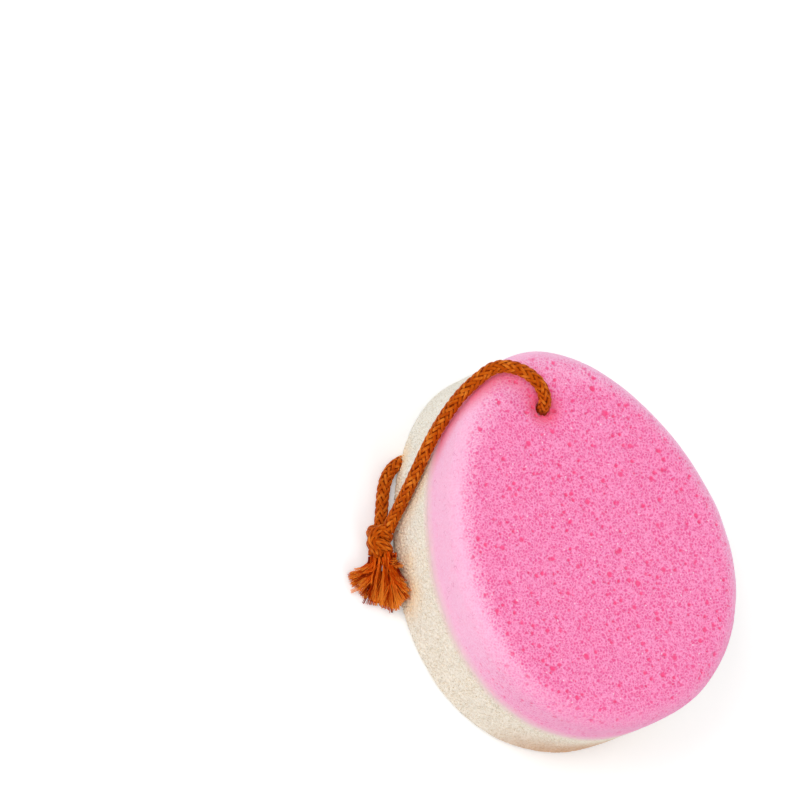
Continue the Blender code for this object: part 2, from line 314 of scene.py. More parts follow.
add_sky()
for name, (place, size, power) in LAMPS.items():
    add_lamp(name, place, size, power)
print("lamps:", ", ".join(LAMPS))

# %% [markdown]
# ## The cord's line
#
# A cord is a fixed length of something limp, so its line comes before its looks. It comes up
# through the hole, arches over the rim, and slides down along the wall to the knot on the floor.
# Its other stretch leaves the foot of the hole in a dent under the cream foam, and runs along the
# floor, all at one height, to the same knot. A few points give each stretch, and a Catmull-Rom
# curve goes through them all without a corner.

# %% Points of the cord's three stretches
OVER_RIM_ROUTE = [
    (-0.0445, 0.0000, 0.0450), (-0.0445, 0.0000, 0.0472), (-0.0448, -0.0001, 0.0494),
    (-0.0459, -0.0003, 0.0519), (-0.0477, -0.0005, 0.0539), (-0.0504, -0.0010, 0.0553),
    (-0.0536, -0.0020, 0.0558), (-0.0568, -0.0037, 0.0554), (-0.0597, -0.0060, 0.0542),
    (-0.0621, -0.0091, 0.0523), (-0.0629, -0.0129, 0.0501), (-0.0615, -0.0177, 0.0474),
    (-0.0589, -0.0229, 0.0433), (-0.0555, -0.0269, 0.0384), (-0.0517, -0.0305, 0.0339),
    (-0.0476, -0.0340, 0.0300), (-0.0434, -0.0370, 0.0262), (-0.0398, -0.0392, 0.0224),
    (-0.0354, -0.0418, 0.0172), (-0.0320, -0.0436, 0.0126), (-0.0290, -0.0457, 0.0092),
    (-0.0262, -0.0480, 0.0076),
]
UNDER_ROUTE = [
    (-0.0445, -0.01155), (-0.0446, -0.0150), (-0.0450, -0.0200), (-0.0458, -0.0260),
    (-0.0462, -0.0310), (-0.0452, -0.0350), (-0.0430, -0.0383), (-0.0393, -0.0413),
    (-0.0345, -0.0440), (-0.0299, -0.0465), (-0.0264, -0.0490),
]
HELD_BEND_RADIUS = 0.009
HELD_BEND_STEPS = 6
HELD_ROUTE = [(HOLE_X, 0, 0.0447), (HOLE_X, 0, 0.030)]
for step in range(HELD_BEND_STEPS + 1):
    angle = math.pi / 2 * step / HELD_BEND_STEPS
    back = HELD_BEND_RADIUS * (math.cos(angle) - 1)
    height = CORD_FLOOR_Z + HELD_BEND_RADIUS * (1 - math.sin(angle))
    HELD_ROUTE.append((HOLE_X, back, height))
HELD_ROUTE.append((HOLE_X, -0.01125, CORD_FLOOR_Z))

# %% From points to an even line
LINE_STEP = 0.0003


def smooth_line(route, steps=12):
    """Points of a Catmull-Rom curve through the route's own points."""
    points = np.array(route, float)
    points = np.vstack([2 * points[0] - points[1], points, 2 * points[-1] - points[-2]])
    line = []
    for before, start, end, after in zip(points, points[1:], points[2:], points[3:]):
        for t in np.arange(steps) / steps:
            bow = (2 * before - 5 * start + 4 * end - after) * t**2
            swing = (3 * start - before - 3 * end + after) * t**3
            line.append(start + ((end - before) * t + bow + swing) / 2)
    return np.array([*line, points[-2]])


def even_line(points, spacing=LINE_STEP):
    """The same line, with its points an even distance apart."""
    points = np.asarray(points, float)
    lengths = np.linalg.norm(np.diff(points, axis=0), axis=1)
    travelled = np.concatenate([[0], np.cumsum(lengths)])
    wanted = np.linspace(0, travelled[-1], max(3, round(travelled[-1] / spacing)) + 1)
    return np.column_stack([np.interp(wanted, travelled, points[:, axis]) for axis in range(3)])


def line_length(line):
    return float(np.linalg.norm(np.diff(line, axis=0), axis=1).sum())


over_rim_line = even_line(smooth_line(OVER_RIM_ROUTE))
under_line = even_line(smooth_line([(x, y, CORD_FLOOR_Z) for x, y in UNDER_ROUTE]))
held_line = even_line(HELD_ROUTE)
for title, line in (("over the rim", over_rim_line), ("under", under_line), ("held", held_line)):
    print(f"cord {title}: {line_length(line) * 1000:.1f} mm")


# %% [markdown]
# ## The braid
#
# The real cord is a round braid of sixteen yarns, eight winding each way. Each goes over two and
# under two, so the stretches that lie on top stand in slanting columns along the cord. A bump map
# on a plain tube can't show that, because the gaps between the yarns cut into the cord's outline.
# So every yarn is a mesh of its own: a flat oval, swept along a helix round the cord's line, and its
# distance from the line rises and falls as it crosses the others. In the gaps a plain core shows,
# painted dark as painted shade.
#
# Each point keeps its place within its yarn as an attribute, so that the material can draw the fibres
# along the yarn, whichever way it winds. A second attribute says how deep the point lies in the
# braid, where less light comes, and there the colour is painted darker, as painted shade. Below zero
# it marks the loose tips, which are painted golden, as painted light that shines through them.

# %% Directions across a line
def across_line(line):
    """At each point of a line, its direction, and two directions square to it without a twist."""
    ahead = np.gradient(line, axis=0)
    ahead /= np.linalg.norm(ahead, axis=1)[:, None]
    side = np.cross(ahead[0], (0.3, 0.8, 0.5))
    sides = []
    for direction in ahead:
        side = side - direction * (side @ direction)
        side = side / np.linalg.norm(side)
        sides.append(side)
    sides = np.array(sides)
    return ahead, sides, np.cross(ahead, sides)


# %% Values kept with the points
def keep(mesh, name, values):
    """Keeps a number or a vector for each point of a mesh."""
    values = np.asarray(values, np.float32)
    kind, key = ("FLOAT", "value") if values.ndim == 1 else ("FLOAT_VECTOR", "vector")
    mesh.attributes.new(name, kind, "POINT").data.foreach_set(key, values.ravel())


# %% A mesh that grows by tubes
FIBRE_SIDES = 4
YARN_EDGE_SHADE = 0.8


class Tubes:
    """Points and faces of many tubes in one mesh, with a place in the yarn for each point."""

    def __init__(self):
        self.points, self.faces, self.yarn, self.depth = [], [], [], []

    def add(self, line, wide, flat, width, height, start=0.0, sides=8, depth=0.0):
        """A tube round the line. Its oval section is 2 * width by 2 * height, along wide and flat."""
        turns = np.arange(sides) * 2 * math.pi / sides
        width, height = np.broadcast_to(width, len(line)), np.broadcast_to(height, len(line))
        across = np.cos(turns)[None, :] * width[:, None]
        out = np.sin(turns)[None, :] * height[:, None]
        shell = line[:, None] + across[..., None] * wide[:, None] + out[..., None] * flat[:, None]
        lengths = np.linalg.norm(np.diff(line, axis=0), axis=1)
        along = start + np.concatenate([[0], np.cumsum(lengths)])
        place = np.stack([np.repeat(along[:, None], sides, 1), across, out], axis=-1)
        first = sum(len(block) for block in self.points)
        self.points.append(shell.reshape(-1, 3))
        self.yarn.append(place.reshape(-1, 3))
        # Painted shade: each point keeps how deep it lies, and a yarn's edges count as deep too.
        deep = np.repeat(np.broadcast_to(depth, len(line))[:, None], sides, 1)
        if sides > FIBRE_SIDES:
            deep = np.maximum(deep, YARN_EDGE_SHADE * np.abs(np.cos(turns)) ** 3)
        self.depth.append(deep.ravel())
        for row in range(len(line) - 1):
            low = first + row * sides
            for turn in range(sides):
                after = (turn + 1) % sides
                self.faces.append((low + turn, low + after, low + sides + after, low + sides + turn))
        self.faces.append(tuple(range(first + sides - 1, first - 1, -1)))
        last = first + (len(line) - 1) * sides
        self.faces.append(tuple(range(last, last + sides)))

    def mesh(self, name):
        mesh = bpy.data.meshes.new(name)
        mesh.from_pydata(np.vstack(self.points).tolist(), [], self.faces)
        keep(mesh, "yarn", np.vstack(self.yarn))
        keep(mesh, "depth", np.concatenate(self.depth))
        mesh.update()
        return mesh


# %% A braid along a line
YARNS_EACH_WAY = 8
YARN_PITCH = 0.0027
YARN_HEIGHT = 0.00040
YARN_RISE = 0.00024
YARN_FILL = 1.03
YARN_WOBBLE = 0.06
YARN_WAVES = (0.0021, 0.0047)
CORE_SHARE = 0.86


def add_braid(tubes, line, radius, relief=1.0, shade=1.0, pitch=YARN_PITCH, dim=0.0):
    """Braided yarns round a line, inside the radius, and a core for the gaps."""
    rng = np.random.default_rng(len(line))
    ahead, side, lift = across_line(line)
    height, highest = YARN_HEIGHT * relief, YARN_RISE * relief
    middle = radius - height - highest
    travelled = np.linspace(0, line_length(line), len(line))
    turn_rate = 2 * math.pi / (YARNS_EACH_WAY * pitch)
    slope = math.atan(turn_rate * middle)
    yarn_width = math.pi * middle / YARNS_EACH_WAY * math.cos(slope) * YARN_FILL
    for way in (1, -1):
        for number in range(YARNS_EACH_WAY):
            turn = 2 * math.pi * number / YARNS_EACH_WAY + way * turn_rate * travelled
            crossing = number + way * YARNS_EACH_WAY * turn_rate * travelled / math.pi
            # A wave with flat tops: over two yarns, then under two
            rise = way * np.clip(1.5 * np.cos(math.pi / 2 * (crossing + number - 0.5)), -1, 1)
            for wave in YARN_WAVES:
                turn = turn + YARN_WOBBLE * np.sin(travelled / wave + rng.uniform(0, 6))
            outward = np.cos(turn)[:, None] * side + np.sin(turn)[:, None] * lift
            yarn = line + outward * (middle + highest * rise)[:, None]
            direction = np.gradient(yarn, axis=0)
            wide = np.cross(direction, outward)
            wide /= np.linalg.norm(wide, axis=1)[:, None]
            flat = np.cross(wide, direction)
            flat /= np.linalg.norm(flat, axis=1)[:, None]
            # Each yarn starts elsewhere in the noise, so no two have the same streaks
            start = 0.37 * (number + 1) + 0.19 * way
            depth = np.maximum(shade * (1 - rise) / 2, dim)
            tubes.add(yarn, wide, flat, yarn_width, height, start, depth=depth)
    core = even_line(line, 0.001)
    _, side, lift = across_line(core)
    tubes.add(core, side, lift, middle * CORE_SHARE, middle * CORE_SHARE, sides=10, depth=1.0)
    return yarn_width


# %% [markdown]
# ## Fibres
#
# Yarn and frayed ends are the same fibres, spun or loose, so one node group colours both. Noise that
# is squeezed across the yarn and drawn out along it gives fine streaks. They vary the colour from
# rust to caramel, and the same streaks are the height of a bump. The brightest streaks are partly
# painted highlights, the loose tips are painted golden as light shining through, and deep points take
# a dark colour as painted shade.

# %% Node group: fibres
def make_fibre_group():
    sockets = [
        ("Gap Shade", "Color", linear(126, 36, 2)),
        ("Dark", "Color", linear(173, 67, 4)),
        ("Body", "Color", linear(205, 95, 8)),
        ("Bright", "Color", linear(236, 144, 52)),
        ("Fineness", "Float", 7000.0),
        ("Reach", "Float", 420.0),
    ]
    group, given, made = new_group("fibres", sockets, [("Color", "Color"), ("Height", "Float")])
    place = read_vector(group, "yarn")
    along, across, out = split(group, place)
    drawn = [times(group, along, given["Reach"])]
    for part in (across, out):
        drawn.append(times(group, part, given["Fineness"]))
    drawn = add_node(group, "ShaderNodeCombineXYZ", dict(enumerate(drawn))).outputs[0]
    streaks = noise_at(group, drawn, 1.0, Detail=3.0, Roughness=0.6)
    patches = noise_at(group, place, 260.0, Detail=1.0)
    level = maths(group, "ADD", times(group, streaks, 0.75), patches)
    level = ramp(group, level, 0.68, 1.06)
    depth = read_value(group, "depth")
    tips = ramp(group, depth, 0.0, -0.6, 0.0, 0.85)
    # Painted highlights: the brightest streaks and the loose tips take the bright colour.
    shine = maths(group, "MAXIMUM", ramp(group, level, 0.55, 1.0, 0.0, 0.6), tips)
    colour = mix_colour(group, level, given["Dark"], given["Body"])
    colour = mix_colour(group, shine, colour, given["Bright"])
    # Painted shade: deep points take the dark gap colour.
    shade = ramp(group, depth, 0.3, 0.95, **SMOOTH)
    colour = mix_colour(group, shade, colour, given["Gap Shade"])
    set_inputs(made, {"Color": colour, "Height": streaks})
    return group


fibre_group = make_fibre_group()

# %% Materials: spun yarn and loose fibre
def fibre_material(name, values, bump):
    material, tree, shader = new_material(name, 0.5)
    fibres = add_node(tree, "ShaderNodeGroup", values, node_tree=fibre_group).outputs
    values = {
        "Base Color": fibres["Color"],
        "Specular IOR Level": 0.15,
        "Specular Tint": linear(255, 190, 110),
    }
    set_inputs(shader, values)
    add_bump(tree, shader, fibres["Height"], bump, 0.0002)
    return material


yarn_material = fibre_material("braided yarn", {}, 0.6)

# %% [markdown]
# Now the three stretches of cord. The two outside stretches are free cords, and the third is held
# by the foam. The first is dimmer where it comes out of the hole, as little light gets in there.

# %% Braided stretches
DIM_REACH = 0.0085
DIM_FADE = 0.004


def braided_stretch(name, node, line, dim=0.0):
    tubes = Tubes()
    width = add_braid(tubes, line, CORD_RADIUS, dim=dim)
    print(f"{name}: yarns {2000 * width:.2f} mm wide")
    return add_piece(name, tubes.mesh(name), yarn_material, node)


from_start = LINE_STEP * np.arange(len(over_rim_line))
dim_in_hole = np.clip((DIM_REACH - from_start) / DIM_FADE, 0, 0.85)
over_rim = braided_stretch("braid_over_rim", "cord_over_rim", over_rim_line, dim_in_hole)
under = braided_stretch("braid_under", "cord_under", under_line)
braided_stretch("braid_in_hole", "cord_in_hole", held_line)

# %% [markdown]
# ## The knot
#
# The knot is the same cord, pulled tight and a little flattened: it winds twice round the two
# stretches, and one bight lies along the knot's left side. A braid that is pulled tight gets
# longer and its yarns lie straighter, so the pitch is longer here. The line is written in the
# knot's own directions: along its axis, towards the wall, and up.

# %% The knot's own directions
KNOT_CENTRE = Vector((-0.0239, -0.0510, 0.0053))
KNOT_HEADING = math.radians(-23)
KNOT_CORD_RADIUS = 0.00185
KNOT_PITCH = 0.0042
KNOT_SLANT = math.radians(22)


def in_knot(points):
    """Points given in mm along the knot, across it towards the wall, and up, as places."""
    place = Matrix.Translation(KNOT_CENTRE) @ Matrix.Rotation(KNOT_HEADING, 4, "Z")
    return [place @ (Vector(point) * 0.001) for point in points]


# %% Turns and bight of the knot
def eased(values, low, high):
    """0 at low, 1 at high, and a smooth step between."""
    share = np.clip((values - low) / (high - low), 0, 1)
    return share * share * (3 - 2 * share)


def winding_points():
    """Two slanting turns round the knot, whose ends are tucked inside, in mm."""
    first, last, tucked = -0.45, 1.95, 0.35
    turns = np.linspace(first, last, 80)
    ring = 0.9 + 1.85 * eased(np.minimum(turns - first, last - turns), 0, tucked)
    across = ring * np.cos(2 * math.pi * turns)
    up = ring * np.sin(2 * math.pi * turns)
    along = -2.25 + 4.1 * eased(turns, 0.5, 1.0) + math.tan(KNOT_SLANT) * across
    return np.column_stack([along, across, up])


BIGHT = [
    (-3.4, 1.0, 1.0), (-3.4, -0.6, 2.3), (-2.6, -2.1, 2.6), (-1.2, -3.2, 2.1),
    (0.5, -3.6, 1.6), (2.1, -3.0, 1.5), (3.3, -1.9, 1.1), (4.6, -0.7, 0.2),
]
STUBS = [
    [(1.0, -0.8, -1.4), (2.4, -1.2, -1.6), (3.4, -1.5, -1.8), (4.6, -1.6, -1.9)],
    [(1.0, 0.9, 0.4), (2.4, 1.2, 0.5), (3.4, 1.4, 0.6), (4.6, 1.5, 0.7)],
]


# %% Knot
def make_knot():
    tubes = Tubes()
    for points in (winding_points(), smooth_line(BIGHT), *[smooth_line(stub) for stub in STUBS]):
        line = even_line(in_knot(points))
        add_braid(tubes, line, KNOT_CORD_RADIUS, relief=0.85, shade=0.75, pitch=KNOT_PITCH)
    mesh = tubes.mesh("knot windings")
    return add_piece("knot_windings", mesh, yarn_material, "knot")


knot = make_knot()

# %% [markdown]
# ## Frayed ends
#
# Past the knot the braid has come undone, and each end is a fan of tufts. A particle system would
# grow hair, but a mesh of tapering tubes exports as it is. Each strand heads for the tip of its
# tuft and wanders a little on its way, and its fibres stay near it. Seeded random numbers give
# the same fan each time.

# %% Roots and tips of the fans
FRAYED_ENDS = {
    "frayed_end_a": (
        (-0.0191, -0.0533, 0.0030),
        [
            (-0.0165, -0.0650, 0.0030), (-0.0160, -0.0646, 0.0034), (-0.0150, -0.0652, 0.0024),
            (-0.0135, -0.0643, 0.0018), (-0.0107, -0.0640, 0.0030), (-0.0082, -0.0619, 0.0018),
            (-0.0061, -0.0612, 0.0032), (-0.0045, -0.0588, 0.0016), (-0.0036, -0.0572, 0.0032),
        ],
    ),
    "frayed_end_b": (
        (-0.0176, -0.0508, 0.0066),
        [
            (-0.0052, -0.0592, 0.0040), (-0.0030, -0.0573, 0.0042), (-0.0016, -0.0549, 0.0022),
            (-0.0010, -0.0542, 0.0050), (-0.0016, -0.0532, 0.0074), (-0.0031, -0.0520, 0.0098),
            (-0.0051, -0.0517, 0.0125), (-0.0143, -0.0506, 0.0118),
        ],
    ),
}


# %% One strand
STRANDS_PER_TUFT = 12
FIBRES_PER_STRAND = 8
FIBRE_STEPS = 14
ROOT_SPREAD = 0.0009
TIP_SPREAD = 0.0008
WANDER = 0.00026
SHORT_SHARE = 0.3
DARK_SHARE = 0.4
LOWEST_FIBRE = 0.0003


def strand_line(rng, root, tip, leave):
    """One strand: it leaves along the cord, turns towards its tip, and wanders."""
    t = np.linspace(0, 1, FIBRE_STEPS)[:, None]
    start = root - leave * ROOT_SPREAD + rng.normal(0, ROOT_SPREAD, 3)
    reach = rng.uniform(0.62, 0.88) if rng.uniform() < SHORT_SHARE else rng.uniform(0.9, 1.02)
    end = root + (tip - root) * reach + rng.normal(0, TIP_SPREAD, 3)
    bend = start + leave * np.linalg.norm(end - start) * 0.42
    line = start * (1 - t) ** 2 + 2 * bend * t * (1 - t) + end * t**2
    for _ in range(2):
        swing = rng.normal(0, WANDER, 3)
        line = line + swing * np.sin(t * rng.uniform(4, 12) + rng.uniform(0, 6)) * t
    return line


# %% One fan of fibres
def make_frayed_end(name, root, tips, seed, material):
    rng = np.random.default_rng(seed)
    leave = np.array(in_knot([(1, 0, 0)])[0] - KNOT_CENTRE) * 1000
    along = np.linspace(0, 1, FIBRE_STEPS)
    tubes = Tubes()
    for strand in range(STRANDS_PER_TUFT * len(tips)):
        middle = strand_line(rng, np.array(root), np.array(tips[strand % len(tips)]), leave)
        tone = rng.uniform(0.6, 1.0) if rng.uniform() < DARK_SHARE else rng.uniform(-0.1, 0.3)
        _, side, lift = across_line(middle)
        for _ in range(FIBRES_PER_STRAND):
            spread = 0.00016 + rng.uniform(0.0001, 0.0009) * along**2
            turn = rng.uniform(0, 2 * math.pi)
            line = middle + (math.cos(turn) * side + math.sin(turn) * lift) * spread[:, None]
            line[:, 2] = np.maximum(line[:, 2], LOWEST_FIBRE)
            thick = rng.uniform(0.00008, 0.00019) * np.linspace(1.2, 0.5, FIBRE_STEPS)
            # Painted light: towards its tip a fibre is lighter and golden, as light shines through
            # it.
            tip_light = (0.3 if tone > 0.5 else 0.75) * along**4
            deep = tone + rng.uniform(-0.25, 0.25) - tip_light
            tubes.add(line, side, lift, thick, thick, rng.uniform(0, 9), FIBRE_SIDES, deep)
    return add_piece(name + "_fibres", tubes.mesh(name), material, name)


# %% Both frayed ends
fray_look = {
    "Gap Shade": linear(118, 17, 0),
    "Dark": linear(198, 61, 0),
    "Body": linear(234, 96, 4),
    "Bright": linear(248, 156, 54),
    "Fineness": 900.0,
}
fray_material = fibre_material("loose fibres", fray_look, 0.2)
for seed, (name, (root, tips)) in enumerate(FRAYED_ENDS.items()):
    make_frayed_end(name, root, tips, seed + 5, fray_material)


# %% [markdown]
# The three pieces at the cord's end go with both free stretches, because each stretch ends in the
# knot.


# %% [markdown]
# ## The foam slabs
#
# Both foams start from the same egg shape. One face with the egg's outline is pulled up into a
# slab, and a bevel rounds one of its edges. The real foam has thousands of small pits, so the slab
# then needs points close together all over. A voxel Remesh gives them: it rebuilds the surface
# with even small faces.

# %% Egg shaped slab
OUTLINE_POINTS = 240


def on_outline(turn):
    """Where the egg's outline is at an angle, or at many."""
    taper = 1 + EGG_TAPER_SHARE * np.cos(turn)
    return np.array([LENGTH / 2 * np.cos(turn), WIDTH / 2 * np.sin(turn) * taper])


def egg_slab(name, bottom, top, rounded_height, radius):
    bm = bmesh.new()
    ring = on_outline(2 * math.pi * np.arange(OUTLINE_POINTS) / OUTLINE_POINTS).T
    low = bm.faces.new([bm.verts.new((x, y, bottom)) for x, y in ring])
    raised = bmesh.ops.extrude_face_region(bm, geom=[low])["geom"]
    for vert in raised:
        if isinstance(vert, bmesh.types.BMVert):
            vert.co.z = top
    bmesh.ops.recalc_face_normals(bm, faces=bm.faces)
    rounded = []
    for edge in bm.edges:
        if all(abs(vert.co.z - rounded_height) < 0.0001 for vert in edge.verts):
            rounded.append(edge)
    bmesh.ops.bevel(bm, geom=rounded, offset=radius, segments=12, profile=0.5, affect="EDGES")
    mesh = bpy.data.meshes.new(name)
    bm.to_mesh(mesh)
    bm.free()
    return mesh


# %% A mesh made by modifiers
def mesh_with(mesh, add_modifiers):
    """The mesh that these modifiers make of a mesh."""
    holder = new_object("holder", mesh)
    add_modifiers(holder)
    graph = bpy.context.evaluated_depsgraph_get()
    made = bpy.data.meshes.new_from_object(holder.evaluated_get(graph))
    bpy.data.objects.remove(holder)
    return made


def evenly_meshed(mesh, voxel):
    def add_modifiers(holder):
        remesh = holder.modifiers.new("even faces", "REMESH")
        remesh.mode = "VOXEL"
        remesh.voxel_size = voxel

    return mesh_with(mesh, add_modifiers)


# %% [markdown]
# Foam gives way. Where the cord presses, the surface moves out of its way, with a soft shoulder round
# the dent. Each point of the foam looks up the nearest point of the cord in a k-d tree, and moves
# straight away from it until it is outside. Light that bounces off the cord tints the foam beside it,
# and this is painted: each point also keeps how near it is to the cord, the knot or the loose fibres,
# and the foam's colour is painted warmer there as painted reflected light.

# %% The nearest point of a line
def nearest_on(lines):
    """A k-d tree that looks up the nearest of all the lines' points."""
    points = np.vstack(lines)
    tree = kdtree.KDTree(len(points))
    for number, point in enumerate(points):
        tree.insert(point, number)
    tree.balance()
    return tree


cord_tree = nearest_on([over_rim_line, under_line, held_line])
fray_points = [np.linspace(root, tip, 12) for root, tips in FRAYED_ENDS.values() for tip in tips]
knot_points = [np.array(in_knot(winding_points()))]
cord_glow_tree = nearest_on([over_rim_line, under_line, held_line, *fray_points, *knot_points])

# %% Points of a mesh
def points_and_normals(mesh):
    """Where each point of a mesh is, and which way the surface faces there."""
    both = []
    for data, key in ((mesh.vertices, "co"), (mesh.vertex_normals, "vector")):
        values = np.empty(len(data) * 3, np.float32)
        data.foreach_get(key, values)
        both.append(values.reshape(-1, 3).astype(float))
    return both


def write_points(mesh, points):
    mesh.vertices.foreach_set("co", points.astype(np.float32).ravel())
    mesh.update()


# %% Give way to the cord
def press(points, clear, shoulder):
    """Moves the points that are too near the cord straight away from it."""
    for number, point in enumerate(points):
        near, _, distance = cord_tree.find(point)
        if distance > clear + shoulder or distance < 1e-7:
            continue
        share = max(0.0, (clear + shoulder - distance) / shoulder)
        target = clear + shoulder * (1 - min(1, share)) ** 1.6
        if target > distance:
            points[number] = near + (Vector(point) - near).normalized() * target


def cord_glow_share(points, reach):
    """Painted cord glow: how near each point is to anything of the cord's colour, from 0 at the reach
    to 1.
    """
    distances = [cord_glow_tree.find(point)[2] for point in points]
    return np.clip(1 - (np.array(distances) - CORD_RADIUS) / reach, 0, 1)


# %% [markdown]
# ## Cells, pores and pits
#
# Foam is a froth that has set. Its bubbles touch, so its cells look like a Voronoi pattern, where
# each point belongs to the nearest of many scattered centres. In the pink foam the cells are
# finer than the eye sees at arm's length, and a few large bubbles show as round pores. A plane
# that cuts a ball at random gives circles of all sizes, and that is what a pattern in space gives
# where the surface cuts it.
#
# The surface is really moved in and out, by Geometry Nodes, and the material reads the same
# pattern at the same places, so colour and shape agree. Each point keeps its place from before it
# was moved, as the attribute "rest".

# %% Geometry Nodes: pits
def pit_nodes(name, build_depth):
    """A modifier's node group that moves each point inward by the depth that build_depth makes."""
    group = bpy.data.node_groups.new(name, "GeometryNodeTree")
    for way in ("INPUT", "OUTPUT"):
        group.interface.new_socket("Geometry", in_out=way, socket_type="NodeSocketGeometry")
    given, made = group.nodes.new("NodeGroupInput"), group.nodes.new("NodeGroupOutput")
    kept = "GeometryNodeInputNamedAttribute"
    place = add_node(group, kept, {"Name": "rest"}, data_type="FLOAT_VECTOR").outputs[0]
    amount = add_node(group, kept, {"Name": "pitted"}, data_type="FLOAT").outputs[0]
    depth = times(group, build_depth(group, place), amount)
    normal = add_node(group, "GeometryNodeInputNormal").outputs[0]
    values = {0: normal, "Scale": times(group, depth, -1.0)}
    offset = add_node(group, "ShaderNodeVectorMath", values, operation="SCALE").outputs[0]
    values = {"Geometry": given.outputs[0], "Offset": offset}
    moved = add_node(group, "GeometryNodeSetPosition", values).outputs[0]
    set_inputs(made, {0: moved})
    return group


def with_pits(mesh, group):
    def add_modifiers(holder):
        holder.modifiers.new("pits", "NODES").node_group = group

    return mesh_with(mesh, add_modifiers)


# %% Patterns of the pink foam
PORE_RATE = 330.0
PORE_REACH = 0.35
PIT_DEPTH = 0.0007


def pore_pattern(tree, place, rate=PORE_RATE, widest=PORE_REACH):
    """1 in the middle of a large bubble, and 0 outside, as a smooth bowl."""
    bubbles = add_node(tree, "ShaderNodeTexVoronoi", {"Vector": place, "Scale": rate}).outputs
    reach = ramp(tree, split(tree, bubbles["Color"])[0], 0.0, 1.0, widest * 0.35, widest)
    bottom = times(tree, reach, 0.5)
    return ramp(tree, bubbles["Distance"], reach, bottom, **SMOOTH)


def pink_depth(tree, place):
    nap = times(tree, noise_at(tree, place, 900.0), 0.8)
    both = maths(tree, "ADD", pore_pattern(tree, place), nap)
    return times(tree, both, PIT_DEPTH)


# %% Patterns of the cream foam
CREAM_CELL_RATE = 880.0


def from_walls(tree, place, rate):
    """How far each place is from the nearest wall between two cells."""
    values = {"Vector": place, "Scale": rate}
    cells = add_node(tree, "ShaderNodeTexVoronoi", values, feature="DISTANCE_TO_EDGE")
    return cells.outputs["Distance"]


def cream_depth(tree, place):
    hollow = ramp(tree, from_walls(tree, place, CREAM_CELL_RATE), 0.05, 0.34, **SMOOTH)
    return times(tree, hollow, PIT_DEPTH)


# %% [markdown]
# ## Pink foam
#
# The face was cut with a blade, which opened its pores. The rim and the wall are smoother, and
# painted paler, as painted light that scatters through the foam: the pale band is wider at the narrow
# end, where more light falls, and narrower at the wide end, which is in painted shade. How much a
# point belongs to the face comes from the direction of its surface before the pits are made.

# %% The shape of a slab's surface
SWELL_WIDTH = 0.0115
SWELL_HEIGHT = 0.0003


def swell(points, normals):
    """Moves the surface by a slow swell. At the bond it goes sideways only, so that no gap opens."""
    sideways = normals * (1, 1, 0)
    sideways /= np.maximum(np.linalg.norm(sideways, axis=1), 0.25)[:, None]
    at_bond = (1 - eased(np.abs(points[:, 2] - BOND_HEIGHT), 0.0006, 0.0020))[:, None]
    ways = at_bond * sideways + (1 - at_bond) * normals
    heights = np.array([noise.noise(Vector(point) / SWELL_WIDTH) for point in points])
    points += ways * heights[:, None] * SWELL_HEIGHT


def from_outline(points):
    """How far inside the egg's outline each point is, in metres, as seen from above."""
    turn = np.arctan2(points[:, 1] / WIDTH, points[:, 0] / LENGTH)
    for _ in range(3):
        taper = 1 + EGG_TAPER_SHARE * np.cos(turn)
        turn = np.arctan2(points[:, 1] / (WIDTH * taper), points[:, 0] / LENGTH)
    return np.linalg.norm(on_outline(turn), axis=0) - np.linalg.norm(points[:, :2], axis=1)


def square_corner(points, normals, height):
    """The slab's edge against its neighbour made square again, because Remesh rounds it off."""
    on_wall = np.hypot(normals[:, 0], normals[:, 1]) > 0.25
    near = (np.abs(points[:, 2] - height) < 0.0007) & on_wall
    reach = np.linalg.norm(points[:, :2], axis=1)
    points[near, :2] *= ((reach + from_outline(points)) / reach)[near, None]


# %% Main pores of the face
# Shares of the half length and of the half width, and a size as a share of the widest pore's
MAIN_PORE_WIDTH = 0.0022
MAIN_PORE_DEPTH = 0.0007
MAIN_PORES = [
    (-0.695, 0.390, 0.79), (-0.675, 0.211, 0.64), (-0.564, -0.008, 0.76), (-0.557, 0.410, 1.00),
    (-0.549, -0.211, 0.91), (-0.460, 0.202, 0.52), (-0.425, -0.154, 0.56), (-0.368, -0.464, 0.74),
    (-0.359, 0.498, 0.79), (-0.282, 0.695, 0.61), (-0.270, -0.184, 0.59), (-0.240, 0.351, 0.87),
    (-0.219, -0.624, 0.59), (-0.169, 0.044, 0.87), (-0.166, 0.557, 0.81), (-0.153, -0.174, 0.56),
    (-0.106, -0.517, 0.79), (-0.101, -0.674, 0.81), (-0.056, 0.698, 0.67), (0.040, -0.352, 0.74),
    (0.067, 0.475, 0.67), (0.122, -0.197, 0.72), (0.123, 0.132, 0.74), (0.217, 0.000, 0.91),
    (0.281, 0.665, 0.56), (0.287, -0.740, 0.64), (0.290, 0.395, 0.81), (0.309, 0.177, 0.93),
    (0.312, -0.379, 0.59), (0.392, -0.494, 0.61), (0.425, 0.498, 0.61), (0.427, -0.680, 0.74),
    (0.485, 0.225, 0.72), (0.526, 0.614, 0.74), (0.559, -0.647, 0.83), (0.559, -0.383, 0.91),
    (0.590, 0.245, 0.61), (0.603, 0.045, 0.72), (0.727, 0.229, 0.87), (0.757, -0.233, 0.69),
    (0.786, 0.100, 0.74),
]


def main_pores(points, normals):
    """For each point, how deep it lies in a main pore, from 0 outside to 1 at the deepest."""
    middles = [(along * LENGTH / 2, across * WIDTH / 2, 0) for along, across, _ in MAIN_PORES]
    tree = nearest_on([middles])
    depth = np.zeros(len(points))
    for number in np.nonzero(normals[:, 2] > 0.9)[0]:
        x, y, _ = points[number]
        _, pore, distance = tree.find((x, y, 0))
        size = MAIN_PORES[pore][2]
        reach = distance / (MAIN_PORE_WIDTH / 2 * size)
        depth[number] = size * max(0.0, 1 - reach * reach)
    return depth


# %% Pink foam, shape
PINK_VOXEL = 0.00045
BOND_OVERLAP = 0.0001
PRESS_GAP = 0.00005
PINK_SHOULDER = 0.0016
PINK_GLOW_REACH = 0.0065
MOUTH_DIP = 0.0022
MOUTH_DIP_REACH = 0.0042


